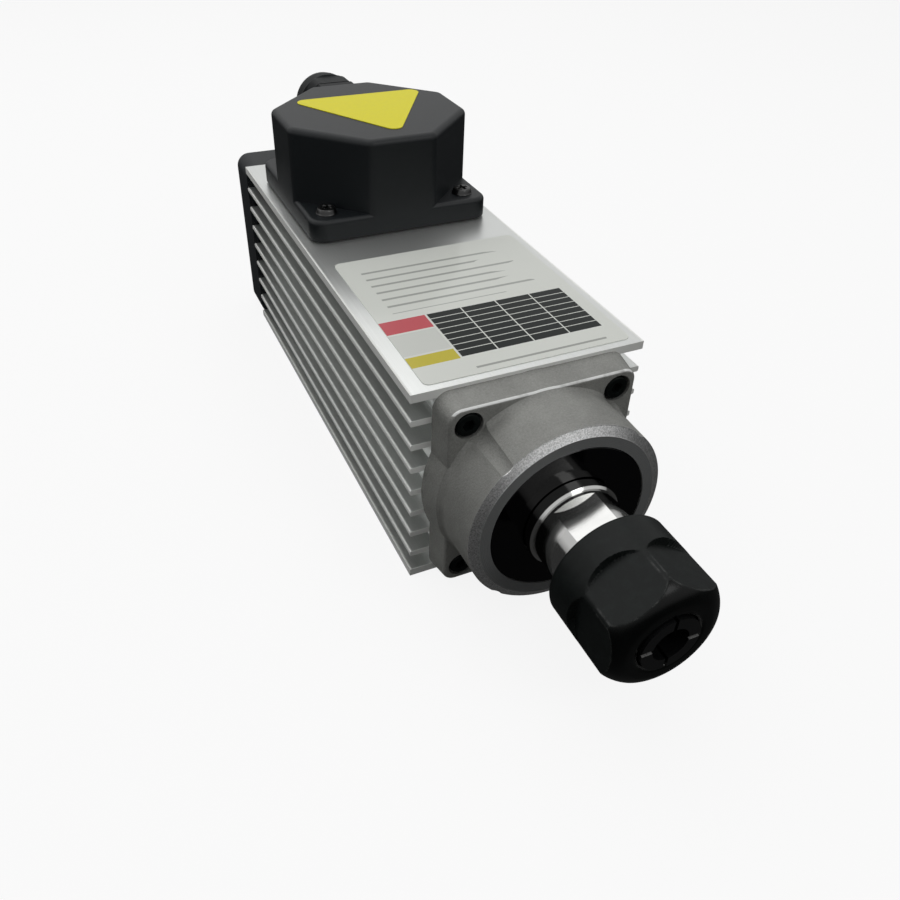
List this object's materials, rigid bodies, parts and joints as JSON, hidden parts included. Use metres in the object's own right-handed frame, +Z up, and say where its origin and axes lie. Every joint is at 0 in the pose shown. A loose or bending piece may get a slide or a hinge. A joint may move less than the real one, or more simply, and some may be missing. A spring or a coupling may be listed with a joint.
{
  "type": "motor spindle",
  "caption": "Square finned air-cooled spindle motor with a collet chuck on its nose, a top terminal box with a cable gland, and a fan behind a grille at the rear.",
  "frame": {"origin": "centre of the flat base that the motor is mounted on", "axes": "-Y along the spindle towards the collet, +Z up through the terminal box, +X to the right seen from the nose"},
  "size_m": [0.07, 0.2531, 0.0966],
  "materials": {
    "body_aluminium": "fine blasted, fins a little darker",
    "cast_aluminium": "fine cast grain with turned edges",
    "black_enamel": "glossy",
    "black_oxide_steel": "satin black oxide",
    "ground_steel": "ground",
    "bearing_steel": "polished",
    "spring_steel": "pressed sheet",
    "lamination_steel": "stacked sheet",
    "winding": "varnished copper wire",
    "rotor_bars": "cast",
    "black_plastic": "moulded",
    "black_nylon": "moulded",
    "sealing_rubber": "matt",
    "plated_steel": "bright zinc plated",
    "terminal_plastic": "moulded",
    "terminal_brass": "plated",
    "lead_insulation": "smooth",
    "label_film": "printed film",
    "sticker_film": "plain film"
  },
  "bodies": {
    "housing": {"motor_body": "body_aluminium", "front_end_bell": "cast_aluminium", "front_bearing_cap": "black_enamel", "front_bell_screws": "black_oxide_steel", "front_bearing_outer_rings": "bearing_steel", "outer_ring_spacer": "ground_steel", "rear_bearing_outer_ring": "bearing_steel", "stator_core": "lamination_steel", "stator_windings": "winding", "rear_end_bell": "cast_aluminium", "wave_washer": "spring_steel", "rear_cover": "black_plastic", "rear_cover_screws": "black_oxide_steel", "terminal_box_cover": "black_plastic", "terminal_box_gasket": "sealing_rubber", "terminal_box_screws": "plated_steel", "terminal_block": "terminal_plastic", "terminal_screws": "terminal_brass", "earth_screw": "plated_steel", "motor_leads": "lead_insulation", "gland_body": "black_nylon", "gland_locknut": "black_nylon", "gland_o_ring": "sealing_rubber", "rating_label": "label_film", "box_sticker": "sticker_film"},
    "rotor": {"spindle_shaft": "ground_steel", "slinger_ring": "ground_steel", "front_bearing_nut": "black_oxide_steel", "front_bearing_inner_rings": "bearing_steel", "inner_ring_spacer": "ground_steel", "rear_bearing_inner_ring": "bearing_steel", "rotor_core": "lamination_steel", "rotor_end_rings": "rotor_bars", "cooling_fan": "black_plastic", "fan_circlip": "spring_steel"},
    "front_ball_set": {"front_bearing_balls": "bearing_steel", "front_bearing_cages": "spring_steel"},
    "rear_ball_set": {"rear_bearing_balls": "bearing_steel", "rear_bearing_cage": "spring_steel"},
    "collet": {"collet": "ground_steel"},
    "nut": {"collet_nut": "black_oxide_steel"},
    "gland_seal": {"gland_seal": "sealing_rubber"},
    "gland_cap": {"gland_cap": "black_nylon"}
  },
  "joints": [
    {"name": "shaft_spin", "type": "hinge", "parent": "housing", "child": "rotor", "pos_m": [0, 0, 0.0325], "axis": [0, 1, 0], "continuous": true},
    {"name": "front_balls_orbit", "type": "hinge", "parent": "housing", "child": "front_ball_set", "pos_m": [0, 0, 0.0325], "axis": [0, 1, 0], "continuous": true},
    {"name": "rear_balls_orbit", "type": "hinge", "parent": "housing", "child": "rear_ball_set", "pos_m": [0, 0, 0.0325], "axis": [0, 1, 0], "continuous": true},
    {"name": "collet_slide", "type": "slide", "parent": "rotor", "child": "collet", "axis": [0, -1, 0], "range_m": [0, 0.0061]},
    {"name": "nut_turn", "type": "hinge", "parent": "collet", "child": "nut", "pos_m": [0, 0, 0.0325], "axis": [0, -1, 0], "range_deg": [0, 1440]},
    {"name": "gland_seal_slide", "type": "slide", "parent": "housing", "child": "gland_seal", "axis": [0, 1, 0], "range_m": [0, 0.0031]},
    {"name": "gland_cap_turn", "type": "hinge", "parent": "gland_seal", "child": "gland_cap", "pos_m": [0, 0, 0.0842], "axis": [0, 1, 0], "range_deg": [0, 720]}
  ],
  "couplings": [
    {"joint": "front_balls_orbit", "follows": "shaft_spin", "ratio": 0.42239},
    {"joint": "rear_balls_orbit", "follows": "shaft_spin", "ratio": 0.38936},
    {"joint": "collet_slide", "follows": "nut_turn", "m_per_rad": 0.00023873},
    {"joint": "gland_seal_slide", "follows": "gland_cap_turn", "m_per_rad": 0.00023873}
  ]
}
